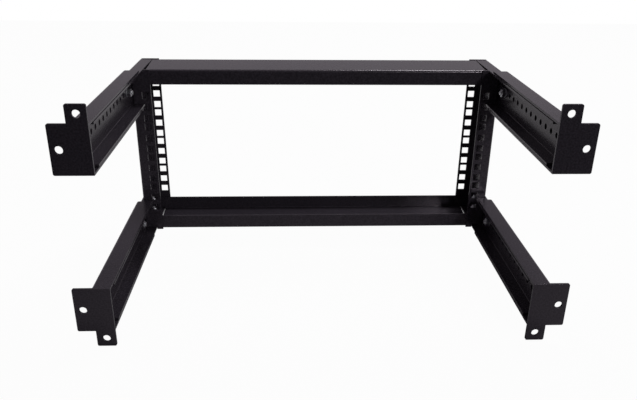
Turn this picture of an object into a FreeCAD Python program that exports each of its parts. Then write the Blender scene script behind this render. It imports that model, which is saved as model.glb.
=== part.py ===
"""Wall mount open frame rack: two rails and two bars, held off a wall by four two-piece arms.

Frame: millimetres, +Z up. The origin is the middle of the four ear holes, on the wall plane y = 0.
Equipment goes in from the front, at -Y. Left is -X, as seen from the front.
Every corner is drawn once, for the top right (+X, +Z), and mirrored to its own side.
"""
import FreeCAD
import Part
import math
import os

V = FreeCAD.Vector

# Equipment opening and the square hole columns
UNIT = 44.45                  # one rack unit
UNITS = 4
HOLES_PER_UNIT = 3
FIRST_HOLE = 6.35             # lowest hole of a unit above the foot of that unit
HOLE_PITCH = 15.875           # from hole to hole inside one unit
OPENING_WIDTH = 450.0
COLUMN_INSET = 7.55           # hole column to the edge of the opening: the columns are 465.1 apart
SQUARE_HOLE = 9.5

# Rails
RAIL_SHEET = 2.0
RAIL_FLANGE = 25.0
RAIL_DEPTH = 75.0
RAIL_MARGIN = 29.1            # rail end beyond the equipment units
NOTCH_GAP = 0.7               # rail or bar notch to the arm flange that passes through it

# Bars
BAR_SHEET = 2.0
BAR_FLANGE = 20.0
BAR_FIT = 0.2                 # bar flange to rail flange, each side
BAR_END_GAP_FRONT = 0.6       # cover end to arm flange, at the front of the bar
BAR_END_GAP_BACK = 4.5        # the same, at the back of the bar
TONGUE_END_GAP = 2.5          # bar tongue to rail web

# Arms
ARM_SHEET = 2.5
ARM_DROP = 24.5               # arm centre line below the end of the rail
OVERALL_DEPTH = 328.0         # wall plane to rack front
WALL_ARM_RAIL_GAP = 16.0      # front end of the wall arm to the back of the rail
WALL_ARM_HEIGHT = 54.5
WALL_ARM_WIDTH = 21.0
WALL_ARM_LAP = 0.5            # wall arm web to front arm web
NEST_CLEARANCE = 0.75         # front arm flange to wall arm flange
FRONT_ARM_BACK_GAP = 17.5     # back end of the front arm to the wall
FRONT_ARM_WIDTH = 18.3
ARM_FRONT_GAP = 0.3           # arm to the front flange of the rail
FLANGE_START_GAP = 1.5        # inner flange of the front arm to the back of the rail
BEND_RADIUS = 1.0             # inside radius of every bend

# Row of length setting holes in the front arms
ROW_HOLE = 6.6
ROW_PITCH = 16.5
ROW_RISE = 1.5                # row of holes above the arm centre line
ROW_END_MARGIN = 6.0          # least length of arm behind the last hole
ROW_HOLES_BEFORE_CLAMP = 1
CLAMP_BACK = 15.0             # clamp bolt behind the front end of the wall arm

# Ears
EAR_WIDTH = 41.5
TAB_WIDTH = 21.5
TAB_LENGTH = 20.0
EAR_CORNER_RADIUS = 2.0
WALL_HOLE = 8.7
EAR_HOLE_INSET = 9.3          # ear hole to the outer edge of the ear: the holes are 533.4 apart
TAB_HOLE_INSET = 10.5         # tab hole to the inner edge of the tab
TAB_HOLE_RISE = 10.0          # tab hole beyond the ear

# Bolts, nuts and washers
BOLT = 6.0
BOLT_HEAD = 10.0              # across flats, bolt head and nut
HEAD_HEIGHT = 4.0
NUT_HEIGHT = 5.0
HEX_CHAMFER = 0.7
BOLT_TIP_CHAMFER = 0.6
BOLT_TIP_LENGTH = 2.0         # thread beyond the nut
WASHER_OUTER = 12.0
WASHER_SHEET = 1.6
THREAD_FIT = 0.05             # bolt to nut or washer bore, on the radius
CORNER_BOLT_SPACING = 16.0
CORNER_BOLT_BACK = 43.0       # corner bolts behind the rack front

# Places worked out from the sizes above
RACK_FRONT = -OVERALL_DEPTH
RAIL_BACK = RACK_FRONT + RAIL_DEPTH
OPENING_EDGE = OPENING_WIDTH / 2
RAIL_SIDE = OPENING_EDGE + RAIL_FLANGE
RAIL_HEIGHT = UNITS * UNIT + 2 * RAIL_MARGIN
RAIL_TOP = RAIL_HEIGHT / 2
ARM_RISE = RAIL_TOP - ARM_DROP
FRONT_ARM_SIDE = RAIL_SIDE + ARM_SHEET
FRONT_ARM_HEIGHT = WALL_ARM_HEIGHT - 2 * ARM_SHEET - 2 * NEST_CLEARANCE
FRONT_ARM_TOP = ARM_RISE + FRONT_ARM_HEIGHT / 2
FRONT_ARM_EDGE = FRONT_ARM_SIDE - FRONT_ARM_WIDTH
FRONT_ARM_START = RACK_FRONT + RAIL_SHEET + ARM_FRONT_GAP
WALL_ARM_SIDE = FRONT_ARM_SIDE + WALL_ARM_LAP + ARM_SHEET
WALL_ARM_EDGE = WALL_ARM_SIDE - WALL_ARM_WIDTH
WALL_ARM_TOP = ARM_RISE + WALL_ARM_HEIGHT / 2
WALL_ARM_START = RAIL_BACK + WALL_ARM_RAIL_GAP
CLAMP_Y = WALL_ARM_START + CLAMP_BACK
ROW_Z = ARM_RISE + ROW_RISE
ROW_START = CLAMP_Y - ROW_HOLES_BEFORE_CLAMP * ROW_PITCH
ROW_COUNT = 1 + int((-FRONT_ARM_BACK_GAP - ROW_END_MARGIN - ROW_START) / ROW_PITCH)
REAR_HOLE_Y = ROW_START + (ROW_COUNT - 1) * ROW_PITCH
CORNER_BOLT_Y = RACK_FRONT + CORNER_BOLT_BACK
OVERSIZE = 10.0               # how far a cutting tool runs past what it cuts

SIDES = {"left": -1, "right": 1}
LEVELS = {"top": 1, "bottom": -1}


def rounded_face(points, radii=None):
    """Flat face with an outline of straight runs, each corner sharp or rounded by its own radius."""
    radii = radii or [0] * len(points)
    runs = []
    for i, corner in enumerate(points):
        back = (points[i - 1] - corner).normalize()
        ahead = (points[(i + 1) % len(points)] - corner).normalize()
        half = back.getAngle(ahead) / 2
        reach = radii[i] / math.tan(half)
        middle = (back + ahead).normalize() * (radii[i] / math.sin(half) - radii[i])
        runs.append((corner + back * reach, corner + middle, corner + ahead * reach))
    edges = []
    for i, (start, middle, end) in enumerate(runs):
        if radii[i] > 0:
            edges.append(Part.Arc(start, middle, end).toShape())
        edges.append(Part.LineSegment(end, runs[(i + 1) % len(runs)][0]).toShape())
    return Part.Face(Part.Wire(edges))


def channel(corner, across, inward, depth, flanges, sheet, run):
    """Bent channel: its web starts at corner and goes across, its two flanges go inward, extruded by run."""
    outer = [corner + inward * flanges[0], corner, corner + across * depth,
             corner + across * depth + inward * flanges[1]]
    inner = [outer[3] - across * sheet,
             corner + across * (depth - sheet) + inward * sheet,
             corner + (across + inward) * sheet,
             outer[0] + across * sheet]
    bend = BEND_RADIUS + sheet
    return rounded_face(outer + inner, [0, bend, bend, 0, 0, BEND_RADIUS, BEND_RADIUS, 0]).extrude(run)


def block(low, high):
    """Box between two opposite corners, for cutting."""
    return Part.makeBox(high.x - low.x, high.y - low.y, high.z - low.z, low)


def side_hole(diameter, y, z):
    """Cutting rod along X, through every sheet of the right side at y and z."""
    start = OPENING_EDGE + BAR_SHEET
    return Part.makeCylinder(diameter / 2, WALL_ARM_SIDE + OVERSIZE - start, V(start, y, z), V(1, 0, 0))


def square_holes():
    """Cutting bars along Y for one column of square holes, through both flanges of the right rail."""
    low = V(OPENING_EDGE + COLUMN_INSET - SQUARE_HOLE / 2, RACK_FRONT - OVERSIZE, 0)
    tools = []
    for unit in range(UNITS):
        for hole in range(HOLES_PER_UNIT):
            z = (unit - UNITS / 2) * UNIT + FIRST_HOLE + hole * HOLE_PITCH - SQUARE_HOLE / 2
            high = low + V(SQUARE_HOLE, RAIL_DEPTH + 2 * OVERSIZE, z + SQUARE_HOLE)
            tools.append(block(low + V(0, 0, z), high))
    return tools


def corner_bolt_places():
    """Y and Z of the two bolts that hold the top right front arm to its rail."""
    return [(CORNER_BOLT_Y, ARM_RISE + step * CORNER_BOLT_SPACING / 2) for step in (-1, 1)]


def rail():
    """Right rail: a channel open to the middle, notched at both ends for the flange of a front arm."""
    body = channel(V(RAIL_SIDE, RACK_FRONT, -RAIL_TOP), V(0, 1, 0), V(-1, 0, 0),
                   RAIL_DEPTH, (RAIL_FLANGE, RAIL_FLANGE), RAIL_SHEET, V(0, 0, RAIL_HEIGHT))
    seat = FRONT_ARM_TOP - ARM_SHEET - BEND_RADIUS
    notch = block(V(FRONT_ARM_EDGE - NOTCH_GAP, RACK_FRONT + RAIL_SHEET, seat),
                  V(RAIL_SIDE + OVERSIZE, RAIL_BACK + OVERSIZE, RAIL_TOP + OVERSIZE))
    tools = square_holes() + [notch, flipped(notch, 1, -1)]
    for y, z in corner_bolt_places():
        tools += [side_hole(ROW_HOLE, y, z), side_hole(ROW_HOLE, y, -z)]
    return body.cut(tools)


def bar():
    """Top bar: a channel open downward, its cover stopping beside the arms, its flanges inside the rails."""
    depth = RAIL_DEPTH - 2 * RAIL_SHEET - 2 * BAR_FIT
    front = RACK_FRONT + RAIL_SHEET + BAR_FIT
    end = RAIL_SIDE - RAIL_SHEET - TONGUE_END_GAP
    body = channel(V(-end, front, FRONT_ARM_TOP), V(0, 1, 0), V(0, 0, -1),
                   depth, (BAR_FLANGE, BAR_FLANGE), BAR_SHEET, V(2 * end, 0, 0))
    low = FRONT_ARM_TOP - ARM_SHEET - NOTCH_GAP
    outline = [V(FRONT_ARM_EDGE - BAR_END_GAP_FRONT, front, low),
               V(end + OVERSIZE, front, low),
               V(end + OVERSIZE, front + depth, low),
               V(FRONT_ARM_EDGE - BAR_END_GAP_BACK, front + depth, low)]
    notch = rounded_face(outline).extrude(V(0, 0, ARM_SHEET + OVERSIZE))
    return body.cut([notch, flipped(notch, -1, 1)])


def front_arm():
    """Top right front arm: bolted outside the rail web, with its top flange lying over the rail end."""
    back = -FRONT_ARM_BACK_GAP
    body = channel(V(FRONT_ARM_SIDE, FRONT_ARM_START, FRONT_ARM_TOP), V(0, 0, -1), V(-1, 0, 0),
                   FRONT_ARM_HEIGHT, (FRONT_ARM_WIDTH, FRONT_ARM_WIDTH), ARM_SHEET,
                   V(0, back - FRONT_ARM_START, 0))
    low = FRONT_ARM_TOP - FRONT_ARM_HEIGHT - OVERSIZE
    rail_room = block(V(FRONT_ARM_EDGE - OVERSIZE, FRONT_ARM_START - OVERSIZE, low),
                      V(RAIL_SIDE, RAIL_BACK + FLANGE_START_GAP, ARM_RISE))
    tools = [rail_room]
    tools += [side_hole(ROW_HOLE, ROW_START + i * ROW_PITCH, ROW_Z) for i in range(ROW_COUNT)]
    tools += [side_hole(ROW_HOLE, y, z) for y, z in corner_bolt_places()]
    return body.cut(tools)


def ear_plate():
    """Plate across the wall end of the top right arm: an ear out to the side and a tab up."""
    low = WALL_ARM_TOP - WALL_ARM_HEIGHT
    outer = WALL_ARM_EDGE + EAR_WIDTH
    tab_side = WALL_ARM_EDGE + TAB_WIDTH
    tab_top = WALL_ARM_TOP + TAB_LENGTH
    outline = [V(WALL_ARM_EDGE, 0, low), V(outer, 0, low), V(outer, 0, WALL_ARM_TOP),
               V(tab_side, 0, WALL_ARM_TOP), V(tab_side, 0, tab_top), V(WALL_ARM_EDGE, 0, tab_top)]
    radius = EAR_CORNER_RADIUS
    return rounded_face(outline, [0, radius, radius, 0, radius, radius]).extrude(V(0, -ARM_SHEET, 0))


def wall_hole(x, z):
    """Cutting rod along Y through the ear plate."""
    return Part.makeCylinder(WALL_HOLE / 2, 2 * OVERSIZE, V(x, -OVERSIZE, z), V(0, 1, 0))


def wall_arm():
    """Top right wall arm: a channel that the front arm slides in, with its ear plate."""
    body = channel(V(WALL_ARM_SIDE, WALL_ARM_START, WALL_ARM_TOP), V(0, 0, -1), V(-1, 0, 0),
                   WALL_ARM_HEIGHT, (WALL_ARM_WIDTH, WALL_ARM_WIDTH), ARM_SHEET,
                   V(0, -ARM_SHEET - WALL_ARM_START, 0))
    body = body.fuse(ear_plate()).removeSplitter()
    tools = [side_hole(ROW_HOLE, y, ROW_Z) for y in (CLAMP_Y, REAR_HOLE_Y)]
    tools.append(wall_hole(WALL_ARM_EDGE + EAR_WIDTH - EAR_HOLE_INSET, ARM_RISE))
    tools.append(wall_hole(WALL_ARM_EDGE + TAB_HOLE_INSET, WALL_ARM_TOP + TAB_HOLE_RISE))
    return body.cut(tools)


def hexagon(start, height, chamfers):
    """Hexagonal prism from start along -X, a flat up, its rims chamfered at the named ends."""
    corners = [start + V(0, math.sin(a), math.cos(a)) * (BOLT_HEAD / math.sqrt(3))
               for a in (math.radians(30 + 60 * i) for i in range(6))]
    prism = rounded_face(corners).extrude(V(-height, 0, 0))
    rim = BOLT_HEAD / math.sqrt(3)
    reach = rim - BOLT_HEAD / 2 + HEX_CHAMFER
    slope = math.tan(math.radians(30))
    if "start" in chamfers:
        cone = Part.makeCone(rim - reach, rim - reach + height / slope, height, start, V(-1, 0, 0))
        prism = prism.common(cone)
    if "end" in chamfers:
        end = start - V(height, 0, 0)
        cone = Part.makeCone(rim - reach, rim - reach + height / slope, height, end, V(1, 0, 0))
        prism = prism.common(cone)
    return prism


def rod(start, length, radius):
    """Round rod from start along -X, its far rim chamfered."""
    shank = Part.makeCylinder(radius, length - BOLT_TIP_CHAMFER, start, V(-1, 0, 0))
    tip = Part.makeCone(radius, radius - BOLT_TIP_CHAMFER, BOLT_TIP_CHAMFER,
                        start - V(length - BOLT_TIP_CHAMFER, 0, 0), V(-1, 0, 0))
    return shank.fuse(tip)


def bore(start, length):
    """Cutting rod for the bore of a nut or washer, from start along -X."""
    return Part.makeCylinder(BOLT / 2 + THREAD_FIT, length, start, V(-1, 0, 0))


def washer(start):
    """Flat washer from start along -X."""
    disc = Part.makeCylinder(WASHER_OUTER / 2, WASHER_SHEET, start, V(-1, 0, 0))
    return disc.cut(bore(start, WASHER_SHEET))


def fastening(outside, inside, y, z):
    """Bolt, nut and washer clamping the sheets between the two faces, the head outside."""
    head_face = V(outside, y, z)
    nut_face = V(inside - WASHER_SHEET, y, z)
    length = head_face.x - nut_face.x + NUT_HEIGHT + BOLT_TIP_LENGTH
    head = hexagon(head_face + V(HEAD_HEIGHT, 0, 0), HEAD_HEIGHT, ("start",))
    bolt = head.fuse(rod(head_face, length, BOLT / 2))
    nut = hexagon(nut_face, NUT_HEIGHT, ("start", "end")).cut(bore(nut_face, NUT_HEIGHT))
    return {"bolts": [bolt], "nuts": [nut], "washers": [washer(V(inside, y, z))]}


def corner_fasteners():
    """Two bolts with nuts and washers through the front arm and the rail."""
    sets = [fastening(FRONT_ARM_SIDE, RAIL_SIDE - RAIL_SHEET, y, z) for y, z in corner_bolt_places()]
    return {kind: sets[0][kind] + sets[1][kind] for kind in sets[0]}


def flipped(shape, side, level):
    """Copy of a top right shape on its own side and level."""
    if side < 0:
        shape = shape.mirror(V(0, 0, 0), V(1, 0, 0))
    if level < 0:
        shape = shape.mirror(V(0, 0, 0), V(0, 0, 1))
    return shape


def pieces():
    """Every node of the rack by name, each with its list of solids."""
    nodes = {}
    for side_name, side in SIDES.items():
        nodes["rail_" + side_name] = [flipped(rail(), side, 1)]
    for level_name, level in LEVELS.items():
        nodes[level_name + "_bar"] = [flipped(bar(), 1, level)]
    arms = {"front_arm": front_arm(), "wall_arm": wall_arm()}
    clamp = fastening(WALL_ARM_SIDE, RAIL_SIDE, CLAMP_Y, ROW_Z)
    fasteners = {"corner_" + kind: solids for kind, solids in corner_fasteners().items()}
    fasteners.update({"clamp_" + kind: solids for kind, solids in clamp.items()})
    for level_name, level in LEVELS.items():
        for name, arm in arms.items():
            for side_name, side in SIDES.items():
                nodes[f"{name}_{level_name}_{side_name}"] = [flipped(arm, side, level)]
        for name, solids in fasteners.items():
            nodes[f"{name}_{level_name}"] = [flipped(solid, side, level)
                                             for side in SIDES.values() for solid in solids]
    return nodes


os.makedirs("parts", exist_ok=True)
for node, solids in pieces().items():
    shape = solids[0] if len(solids) == 1 else Part.makeCompound(solids)
    shape.exportStep(f"parts/{node}.step")
    print(node, len(shape.Solids), "solids", round(shape.Volume), "mm3, valid:", shape.isValid())
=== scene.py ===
"""Looks of the wall mount open frame rack: black powder coat, zinc fasteners, white table and soft light.

Metres throughout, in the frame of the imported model: +Z up, the wall plane at y = 0, the rack front at -Y.
The photograph was taken from the wall side, so the camera stands at +Y and looks along -Y.
"""
import bmesh
import bpy
import math
import numpy as np
from mathutils import Matrix, Vector

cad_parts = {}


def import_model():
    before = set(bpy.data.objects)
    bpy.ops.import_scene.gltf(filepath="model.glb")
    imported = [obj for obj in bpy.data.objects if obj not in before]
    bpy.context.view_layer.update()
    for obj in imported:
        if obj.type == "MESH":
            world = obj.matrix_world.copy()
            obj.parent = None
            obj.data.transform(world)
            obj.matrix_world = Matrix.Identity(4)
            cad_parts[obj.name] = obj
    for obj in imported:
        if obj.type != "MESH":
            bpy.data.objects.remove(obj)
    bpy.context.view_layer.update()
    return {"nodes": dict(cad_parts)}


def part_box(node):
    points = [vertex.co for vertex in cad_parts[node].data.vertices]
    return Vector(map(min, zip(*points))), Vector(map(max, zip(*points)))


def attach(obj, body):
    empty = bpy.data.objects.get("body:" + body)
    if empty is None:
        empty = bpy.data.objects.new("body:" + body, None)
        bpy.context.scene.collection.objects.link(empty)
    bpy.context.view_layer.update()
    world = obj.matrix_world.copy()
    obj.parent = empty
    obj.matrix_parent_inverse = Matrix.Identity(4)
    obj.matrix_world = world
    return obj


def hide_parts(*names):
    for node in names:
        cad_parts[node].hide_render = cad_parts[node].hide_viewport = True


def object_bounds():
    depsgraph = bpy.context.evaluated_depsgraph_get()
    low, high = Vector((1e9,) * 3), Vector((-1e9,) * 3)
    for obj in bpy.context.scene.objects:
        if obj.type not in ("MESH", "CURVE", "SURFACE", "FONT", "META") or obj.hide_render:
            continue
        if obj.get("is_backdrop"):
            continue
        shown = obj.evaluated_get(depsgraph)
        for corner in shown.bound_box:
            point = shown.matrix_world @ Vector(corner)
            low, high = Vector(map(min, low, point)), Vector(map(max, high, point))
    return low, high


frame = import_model()

MM = 0.001
SIDES = (-1, 1)
LEVELS = ("top", "bottom")
SHEET_METAL = ("rail", "top_bar", "bottom_bar", "front_arm", "wall_arm")
WHITE = (1.0, 1.0, 1.0)

# Camera, fitted to the holes and edges of the photograph
IMAGE_WIDTH = 637
IMAGE_HEIGHT = 400
FOCAL_PIXELS = 658.6
PRINCIPAL = (318.3, 196.6)
CAMERA_PLACE = Vector((36.5, 627.1, 313.5)) * MM
CAMERA_YAW = math.radians(-2.574)
CAMERA_PITCH = math.radians(-23.373)
CAMERA_ROLL = math.radians(-0.733)
SENSOR = 36.0                 # width in millimetres, the unit of the lens too
CLIP_START = 0.01

# Fasteners
HEAD_FLATS = 10.0 * MM
HEAD_HEIGHT = 4.0 * MM
NUT_HEIGHT = 5.0 * MM
THREAD_RADIUS = 3.0 * MM
THREAD_PITCH = 1.0 * MM
THREAD_DEPTH = 0.55 * MM
THREAD_STEPS = 8              # rows of the grid in one turn of the thread
TIP_CHAMFER = 0.6 * MM
NUT_SINK = TIP_CHAMFER / 2    # countersink of a nut, its depth and its width
CHAMFER_CIRCLE = 0.95         # flat ring on a head or nut, as a share of the flats
CHAMFER_SLOPE = math.tan(math.radians(30.0))
WASHER_RADIUS = 6.0 * MM
WASHER_BORE = 3.1 * MM        # radius
WASHER_EDGE = 0.2 * MM
ANGLES = np.radians(np.arange(0.0, 360.0, 7.5))     # columns of every turned grid
PLACE_DIGITS = 6              # heights that agree to a micrometre are one height
MERGE_DISTANCE = 0.002 * MM
SHARP_ANGLE = math.radians(28.0)

# Powder coat: linear colours, and what its noises and edges add
COAT_DARK = (0.0185, 0.0159, 0.0206)
COAT_LIGHT = (0.0400, 0.0345, 0.0440)
# paler sharp edges: wear, and a painted highlight of the light that edges catch
COAT_WORN_AND_HIGHLIT = (0.060, 0.056, 0.064)
COAT_GLINT = (1.0, 0.90, 1.0)  # tint of its reflections
CLOUD_SHADE = 0.6
MOTTLE_SHADE = 2.6
SHADE_START = 1.1             # sum of both shades up to which the coat is darkest
EDGE_RADIUS = 0.35 * MM
EDGE_GAIN = 3.0               # gain on how far an edge turns the normal
# share of the paler colour on an edge: wear and painted highlight
EDGE_WEAR_AND_HIGHLIGHT = 0.55
WEAR_AND_HIGHLIGHT_START = 0.5              # added to the grain, so that the paler edge, wear and painted highlight, is never nothing
GRAIN_HEIGHT = 0.6
PEEL_HEIGHT = 0.4
COAT_ROUGHNESS = 0.16
GRAIN_ROUGHNESS = 0.06
CLOUD_ROUGHNESS = 0.04
MOTTLE_ROUGHNESS = 0.06

# Zinc plate
ZINC_DARK = (0.66, 0.67, 0.70)
ZINC_LIGHT = (0.80, 0.81, 0.83)
ZINC_ROUGHNESS = 0.26
HAZE_ROUGHNESS = 0.14

# Table, with painted shade: its paint greyer towards the camera, to bounce less light onto the rack there
TABLE_DROP = 0.5 * MM         # under the lowest corner of the rack
TABLE_HALF_WIDTH = 1.6
TABLE_BACK = -2.4
TABLE_FRONT = 0.22
TABLE_GREY = 0.60
GREY_LOSS = 0.20
GREY_LOSS_START = -0.15       # Y
GREY_LOSS_RATE = 6.0          # share of the loss for each metre
TABLE_SEEN = 0.97             # share of plain white in what the camera sees

# Painted soft shadow on the table along the rack front: the paint is darker there,
# and the camera sees more of the table's real shading
SHADOW_HALF_WIDTH = 0.30
SHADOW_END_FADE = 0.04
SHADOW_MIDDLE = -0.355        # Y
SHADOW_HALF_DEPTH = 0.050
SHADOW_SIDE_FADE = 0.035
SHADOW_DARKENING = 0.35
SHADOW_SHARE = 0.88           # share of plain white that the shadow takes away

# World light, by the X, Y and Z of the direction that it comes from
BACKDROP_LEVEL = 0.36
BACKDROP_END = 0.25           # Y where the backdrop ends
BACKDROP_FOOT = 1.1           # its strength at the horizon, before the clamp to 1
BACKDROP_FADE = 1.9           # its loss with Z
BACKDROP_TURN = 0.12          # its loss with X
OVERHEAD_LEVEL = 0.42
OVERHEAD_START = 0.45         # Z where the light from above starts
OVERHEAD_RISE = 1.4           # its gain with Z
OVERHEAD_END = 0.9            # Y where it would reach nothing
ROOM_LEVEL = 0.068            # light from every side
FLOOR_FADE = 4.0              # loss of all light with depth under the horizon
WORLD_TINT = (1.0, 0.92, 1.0)


class Wire:
    """A shader socket that Python operators act on: each operator adds one Math node."""

    def __init__(self, tree, socket):
        self.tree = tree
        self.socket = socket

    def math(self, operation, *others):
        ends = [o.socket if isinstance(o, Wire) else o for o in (self, *others)]
        return Wire(self.tree, self.tree.add("ShaderNodeMath", {"operation": operation}, ends).outputs[0])

    def flipped(self, operation, other):
        return self.tree.number(other).math(operation, self)

    def __add__(self, other):
        return self.math("ADD", other)

    def __radd__(self, other):
        return self.math("ADD", other)

    def __sub__(self, other):
        return self.math("SUBTRACT", other)

    def __rsub__(self, other):
        return self.flipped("SUBTRACT", other)

    def __mul__(self, other):
        return self.math("MULTIPLY", other)

    def __rmul__(self, other):
        return self.math("MULTIPLY", other)

    def __truediv__(self, other):
        return self.math("DIVIDE", other)

    def __rtruediv__(self, other):
        return self.flipped("DIVIDE", other)

    def __abs__(self):
        return self.math("ABSOLUTE")

    def clamp(self):
        return self.math("MINIMUM", 1.0).math("MAXIMUM", 0.0)


class Tree:
    """A node tree with one method that adds any node, its settings first and then its inputs."""

    def __init__(self, owner):
        owner.use_nodes = True
        self.nodes = owner.node_tree.nodes
        self.links = owner.node_tree.links
        self.nodes.clear()

    def add(self, kind, settings=None, inputs=()):
        node = self.nodes.new(kind)
        for name, value in (settings or {}).items():
            setattr(node, name, value)
        pairs = inputs.items() if isinstance(inputs, dict) else enumerate(inputs)
        for key, value in pairs:
            value = value.socket if isinstance(value, Wire) else value
            if isinstance(value, bpy.types.NodeSocket):
                self.links.new(value, node.inputs[key])
            else:
                node.inputs[key].default_value = value
        return node

    def number(self, value):
        node = self.add("ShaderNodeValue")
        node.outputs[0].default_value = value
        return Wire(self, node.outputs[0])

    def noise(self, place, scale, detail=2.0, roughness=0.5):
        """Noise from 0 to 1, scale in blobs per metre."""
        inputs = {"Vector": place, "Scale": scale, "Detail": detail, "Roughness": roughness}
        return Wire(self, self.add("ShaderNodeTexNoise", {}, inputs).outputs["Fac"])

    def blend(self, factor, low, high):
        """Colour between low and high, where low may also be a socket."""
        low = low if isinstance(low, bpy.types.NodeSocket) else (*low, 1.0)
        inputs = {0: factor, 6: low, 7: (*high, 1.0)}
        return self.add("ShaderNodeMix", {"data_type": "RGBA"}, inputs).outputs[2]


def powder_coat():
    """Near-black fine textured powder coat, a little paler along its sharp edges: wear and painted
    highlight.
    """
    material = bpy.data.materials.new("powder_coat")
    tree = Tree(material)
    place = tree.add("ShaderNodeTexCoord").outputs["Object"]
    grain = tree.noise(place, scale=1500.0, detail=3.0, roughness=0.65)
    mottle = tree.noise(place, scale=500.0, detail=2.0, roughness=0.6)
    peel = tree.noise(place, scale=420.0)
    cloud = tree.noise(place, scale=9.0, detail=3.0)
    rounded = tree.add("ShaderNodeBevel", {"samples": 4}, {"Radius": EDGE_RADIUS}).outputs[0]
    true_normal = tree.add("ShaderNodeNewGeometry").outputs["Normal"]
    along = Wire(tree, tree.add("ShaderNodeVectorMath", {"operation": "DOT_PRODUCT"},
                                [rounded, true_normal]).outputs["Value"])
    edge = ((1.0 - along) * EDGE_GAIN).clamp()
    shade = (cloud * CLOUD_SHADE + mottle * MOTTLE_SHADE - SHADE_START).clamp()
    # Paler sharp edges, as wear and as a painted highlight of the light that edges catch
    colour = tree.blend(edge * EDGE_WEAR_AND_HIGHLIGHT * (WEAR_AND_HIGHLIGHT_START + grain),
                        tree.blend(shade, COAT_DARK, COAT_LIGHT), COAT_WORN_AND_HIGHLIT)
    height = grain * GRAIN_HEIGHT + peel * PEEL_HEIGHT
    bump = tree.add("ShaderNodeBump", {},
                    {"Strength": 0.30, "Distance": 0.19 * MM, "Height": height, "Normal": rounded})
    rough = COAT_ROUGHNESS + grain * GRAIN_ROUGHNESS + cloud * CLOUD_ROUGHNESS + mottle * MOTTLE_ROUGHNESS
    shader = tree.add("ShaderNodeBsdfPrincipled", {},
                      {"Base Color": colour, "Roughness": rough, "Normal": bump.outputs[0],
                       "Specular IOR Level": 0.5, "Specular Tint": (*COAT_GLINT, 1.0)})
    tree.add("ShaderNodeOutputMaterial", {}, {"Surface": shader.outputs[0]})
    return material


def zinc_plate():
    """Bright zinc plating with a faint cloudy haze."""
    material = bpy.data.materials.new("zinc_plate")
    tree = Tree(material)
    place = tree.add("ShaderNodeTexCoord").outputs["Object"]
    haze = tree.noise(place, scale=260.0, detail=3.0)
    scratch = tree.noise(place, scale=2600.0)
    bump = tree.add("ShaderNodeBump", {}, {"Strength": 0.25, "Distance": 0.02 * MM, "Height": scratch})
    shader = tree.add("ShaderNodeBsdfPrincipled", {},
                      {"Base Color": tree.blend(haze, ZINC_DARK, ZINC_LIGHT), "Metallic": 1.0,
                       "Roughness": ZINC_ROUGHNESS + haze * HAZE_ROUGHNESS, "Normal": bump.outputs[0]})
    tree.add("ShaderNodeOutputMaterial", {}, {"Surface": shader.outputs[0]})
    return material


def grid_mesh(name, grids, closed_rows):
    """Mesh of several grids of points, each (rows, columns, 3), closed around its columns.

    With closed_rows the last row joins the first, and otherwise the first and last rows are poles.
    """
    points, faces, start = [], [], 0
    for grid in grids:
        rows, columns = grid.shape[:2]
        row = np.arange(rows if closed_rows else rows - 1)
        here = start + row[:, None] * columns + np.arange(columns)[None, :]
        after = start + ((row + 1) % rows)[:, None] * columns + np.arange(columns)[None, :]
        quads = np.stack([here, np.roll(here, -1, 1), np.roll(after, -1, 1), after], -1)
        points.append(grid.reshape(-1, 3))
        faces.append(quads.reshape(-1, 4))
        start += rows * columns
    mesh = bpy.data.meshes.new(name)
    mesh.from_pydata(np.concatenate(points).tolist(), [], np.concatenate(faces).tolist())
    merged = bmesh.new()
    merged.from_mesh(mesh)
    bmesh.ops.remove_doubles(merged, verts=merged.verts, dist=MERGE_DISTANCE)
    bmesh.ops.recalc_face_normals(merged, faces=merged.faces)
    merged.to_mesh(mesh)
    merged.free()
    mesh.shade_smooth()
    mesh.set_sharp_from_angle(angle=SHARP_ANGLE)
    return mesh


def turned(depths, radii, start, side):
    """Grid around an axis along X: depth goes from start towards the middle of the rack.

    Depths and radii are (rows, angles): a point lies at its radius in the YZ plane, angle from +Z.
    """
    grid = np.empty(depths.shape + (3,))
    grid[..., 0] = side * (start[0] - depths)
    grid[..., 1] = start[1] + radii * np.sin(ANGLES)
    grid[..., 2] = start[2] + radii * np.cos(ANGLES)
    return grid


def hexagon_rows(height):
    """Depths and radii of a chamfered hexagon: its corners are cut by a 30 degree cone at both faces.

    The radius of the hexagon is half its flats over the cosine of the angle to the middle of the flat.
    """
    flat = HEAD_FLATS / 2
    corner = flat / np.cos((ANGLES + math.pi / 6) % (math.pi / 3) - math.pi / 6)
    ring = np.full_like(ANGLES, flat * CHAMFER_CIRCLE)
    drop = (corner - ring) * CHAMFER_SLOPE
    level = np.zeros_like(ANGLES)
    return np.stack([level, drop, height - drop, level + height]), np.stack([ring, corner, corner, ring])


def bolt(start, side, length):
    """Hexagon bolt: head, then a thread whose radius is a triangle wave of depth less angle."""
    depths, radii = hexagon_rows(HEAD_HEIGHT)
    level = np.zeros_like(ANGLES)
    thread = np.arange(HEAD_HEIGHT, length, THREAD_PITCH / THREAD_STEPS)[:, None] + level
    turn = (thread / THREAD_PITCH - ANGLES / (2 * math.pi)) % 1.0
    radius = THREAD_RADIUS - THREAD_DEPTH * np.abs(2 * turn - 1)
    radius = np.minimum(radius, THREAD_RADIUS - np.maximum(0, thread - length + TIP_CHAMFER))
    tip = level + THREAD_RADIUS - TIP_CHAMFER
    depths = np.vstack([level, depths, thread, level + length, level + length])
    radii = np.vstack([level, radii, radius, tip, level])
    return turned(depths, radii, start, side)


def nut(start, side):
    """Hexagon nut: the chamfered hexagon closed through its bore, with a countersink at each face."""
    depths, radii = hexagon_rows(NUT_HEIGHT)
    level = np.zeros_like(ANGLES)
    narrow = level + THREAD_RADIUS
    wide = narrow + NUT_SINK
    depths = np.vstack([depths, level + NUT_HEIGHT, level + NUT_HEIGHT - NUT_SINK, level + NUT_SINK, level])
    radii = np.vstack([radii, wide, narrow, narrow, wide])
    return turned(depths, radii, start, side)


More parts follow.
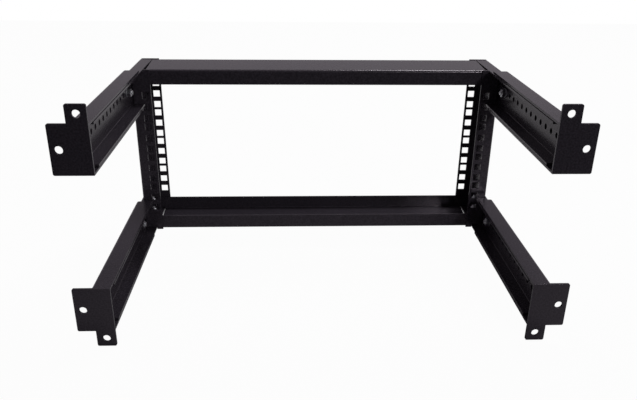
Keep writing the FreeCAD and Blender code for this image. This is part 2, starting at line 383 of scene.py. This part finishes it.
def washer(start, side, sheet):
    """Flat washer: a rectangle with cut corners carried round the axis, its points as depth and radius."""
    edge = WASHER_EDGE
    outline = [(edge, WASHER_BORE), (0, WASHER_BORE + edge),
               (0, WASHER_RADIUS - edge), (edge, WASHER_RADIUS),
               (sheet - edge, WASHER_RADIUS), (sheet, WASHER_RADIUS - edge),
               (sheet, WASHER_BORE + edge), (sheet - edge, WASHER_BORE)]
    profile = np.array(outline)[:, :, None] + np.zeros_like(ANGLES)
    return turned(profile[:, 0], profile[:, 1], start, side)


def dressed(node, grids, closed_rows, material):
    """Piece made of grids that stands for a CAD node of fasteners."""
    name = node + "_detail"
    mesh = grid_mesh(name, grids, closed_rows)
    piece = bpy.data.objects.new(name, mesh)
    bpy.context.scene.collection.objects.link(piece)
    mesh.materials.append(material)
    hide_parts(node)
    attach(piece, "root")


def fastener_places(node, half_height):
    """Start and side of each fastener of a node.

    The start is given for +X: X outermost, Y in the middle of the node, Z at its one or two heights.
    """
    low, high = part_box(node)
    ends = (low[2] + half_height, high[2] - half_height)
    heights = sorted({round(end, PLACE_DIGITS) for end in ends})
    return [((high[0], (low[1] + high[1]) / 2, z), side) for side in SIDES for z in heights]


def half_span(node):
    """Lowest and highest distance of a node's points from the middle of the rack, along X."""
    vertices = frame["nodes"][node].data.vertices
    points = np.empty(len(vertices) * 3)
    vertices.foreach_get("co", points)
    reach = np.abs(points[::3])
    return reach.min(), reach.max()


def bolt_length(node):
    """Length of a bolt from the top of its head to its tip."""
    low, high = half_span(node)
    return high - low


def washer_sheet(washers, nuts):
    """Thickness of the washer under a nut."""
    return half_span(washers)[1] - half_span(nuts)[1]


def dress_fasteners(material):
    """Threaded bolts, chamfered nuts and eased washers in the places of their CAD nodes."""
    for level in LEVELS:
        for where in ("corner", "clamp"):
            bolts, nuts, washers = (f"{where}_{kind}_{level}" for kind in ("bolts", "nuts", "washers"))
            length = bolt_length(bolts)
            sheet = washer_sheet(washers, nuts)
            spots = fastener_places(bolts, HEAD_FLATS / 2)
            dressed(bolts, [bolt(spot, side, length) for spot, side in spots], False, material)
            spots = fastener_places(nuts, HEAD_FLATS / 2)
            dressed(nuts, [nut(spot, side) for spot, side in spots], True, material)
            spots = fastener_places(washers, WASHER_RADIUS)
            dressed(washers, [washer(spot, side, sheet) for spot, side in spots], True, material)


def paint_sheet_metal(material):
    """Powder coat on every rail, bar and arm."""
    for name, node in frame["nodes"].items():
        if name.startswith(SHEET_METAL):
            node.data.materials.clear()
            node.data.materials.append(material)


def table_white():
    """White table paint, clear from underneath.

    The camera sees it nearly white, with a painted soft shadow along the rack front: there the paint is
    darker, and the camera sees more of the table's real shading. Each side of the shadow fades in a
    straight line over its own width.
    """
    material = bpy.data.materials.new("table_white")
    tree = Tree(material)
    place = tree.add("ShaderNodeTexCoord").outputs["Object"]
    parts = tree.add("ShaderNodeSeparateXYZ", {}, [place]).outputs
    x, y = Wire(tree, parts[0]), Wire(tree, parts[1])
    # Mask of the painted shadow along the rack front
    across = ((SHADOW_HALF_WIDTH - abs(x)) / SHADOW_END_FADE).clamp()
    along = ((SHADOW_HALF_DEPTH - abs(y - SHADOW_MIDDLE)) / SHADOW_SIDE_FADE).clamp()
    shadow = across * along
    # Painted shade: the table paint greyer towards the camera, to bounce less light onto the rack there
    grey = TABLE_GREY - ((y - GREY_LOSS_START) * GREY_LOSS_RATE).clamp() * GREY_LOSS
    # Painted shadow: the paint darker under the mask
    paint = tree.add("ShaderNodeBsdfDiffuse", {}, {"Color": grey * (1.0 - shadow * SHADOW_DARKENING)})
    glow = tree.add("ShaderNodeEmission", {}, {"Color": (*WHITE, 1.0), "Strength": 1.0})
    camera_ray = Wire(tree, tree.add("ShaderNodeLightPath").outputs["Is Camera Ray"])
    seen = camera_ray * (TABLE_SEEN - shadow * SHADOW_SHARE)
    mixed = tree.add("ShaderNodeMixShader", {}, [seen, paint.outputs[0], glow.outputs[0]])
    under = tree.add("ShaderNodeNewGeometry").outputs["Backfacing"]
    clear = tree.add("ShaderNodeBsdfTransparent")
    sided = tree.add("ShaderNodeMixShader", {}, [under, mixed.outputs[0], clear.outputs[0]])
    tree.add("ShaderNodeOutputMaterial", {}, {"Surface": sided.outputs[0]})
    return material


def table():
    """Table top under the rack, ending a little in front of the ears."""
    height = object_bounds()[0][2] - TABLE_DROP
    corners = [(-TABLE_HALF_WIDTH, TABLE_BACK, height), (TABLE_HALF_WIDTH, TABLE_BACK, height),
               (TABLE_HALF_WIDTH, TABLE_FRONT, height), (-TABLE_HALF_WIDTH, TABLE_FRONT, height)]
    mesh = bpy.data.meshes.new("table")
    mesh.from_pydata(corners, [], [(0, 1, 2, 3)])
    mesh.materials.append(table_white())
    top = bpy.data.objects.new("table", mesh)
    bpy.context.scene.collection.objects.link(top)
    top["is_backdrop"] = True


def world():
    """World that the camera sees white, while it lights the rack unevenly.

    The light is a pale backdrop behind the rack, more from above, and little from the wall side.
    """
    sky = bpy.data.worlds.new("studio")
    bpy.context.scene.world = sky
    tree = Tree(sky)
    direction = tree.add("ShaderNodeTexCoord").outputs["Generated"]
    parts = tree.add("ShaderNodeSeparateXYZ", {}, [direction]).outputs
    x, y, z = (Wire(tree, part) for part in parts)
    backdrop = (BACKDROP_END - y).clamp() * (BACKDROP_FOOT - z * BACKDROP_FADE).clamp()
    side = 1.0 - x * BACKDROP_TURN
    overhead = ((z - OVERHEAD_START) * OVERHEAD_RISE).clamp() * (OVERHEAD_END - y)
    above = (z * FLOOR_FADE + 1.0).clamp()
    level = (backdrop * side * BACKDROP_LEVEL + overhead * OVERHEAD_LEVEL + ROOM_LEVEL) * above
    seen = Wire(tree, tree.add("ShaderNodeLightPath").outputs["Is Camera Ray"])
    glow = tree.add("ShaderNodeBackground", {},
                    {"Color": tree.blend(seen, WORLD_TINT, WHITE), "Strength": level * (1.0 - seen) + seen})
    tree.add("ShaderNodeOutputWorld", {}, {"Surface": glow.outputs[0]})


def softbox(name, place, target, size, power):
    """Square area lamp that points at a target, its power in watts."""
    lamp = bpy.data.lights.new(name, "AREA")
    lamp.size = size
    lamp.energy = power
    holder = bpy.data.objects.new(name, lamp)
    bpy.context.scene.collection.objects.link(holder)
    holder.location = place
    holder.rotation_euler = (Vector(target) - Vector(place)).to_track_quat("-Z", "Y").to_euler()


def camera():
    """Camera of the photograph, from its fitted place, turn and focal length."""
    data = bpy.data.cameras.new("camera")
    data.sensor_width = SENSOR
    data.lens = FOCAL_PIXELS * SENSOR / IMAGE_WIDTH
    data.shift_x = (IMAGE_WIDTH / 2 - PRINCIPAL[0]) / IMAGE_WIDTH
    data.shift_y = (PRINCIPAL[1] - IMAGE_HEIGHT / 2) / IMAGE_WIDTH
    data.clip_start = CLIP_START
    holder = bpy.data.objects.new("camera", data)
    bpy.context.scene.collection.objects.link(holder)
    turn = Matrix.Rotation(math.pi + CAMERA_YAW, 4, "Z") @ Matrix.Rotation(CAMERA_PITCH, 4, "X")
    turn = turn @ Matrix.Rotation(CAMERA_ROLL, 4, "Y") @ Matrix.Rotation(math.pi / 2, 4, "X")
    holder.matrix_world = Matrix.Translation(CAMERA_PLACE) @ turn
    bpy.context.scene.camera = holder


camera()
paint_sheet_metal(powder_coat())
dress_fasteners(zinc_plate())
table()
world()
softbox("key", place=(-0.86, 1.6, 0.95), target=(-0.1, -0.2, 0.0), size=0.20, power=11.5)
softbox("front", place=(-0.7, -1.3, 2.2), target=(0.0, -0.25, 0.0), size=0.8, power=28.0)
bpy.context.scene.view_settings.view_transform = "Standard"
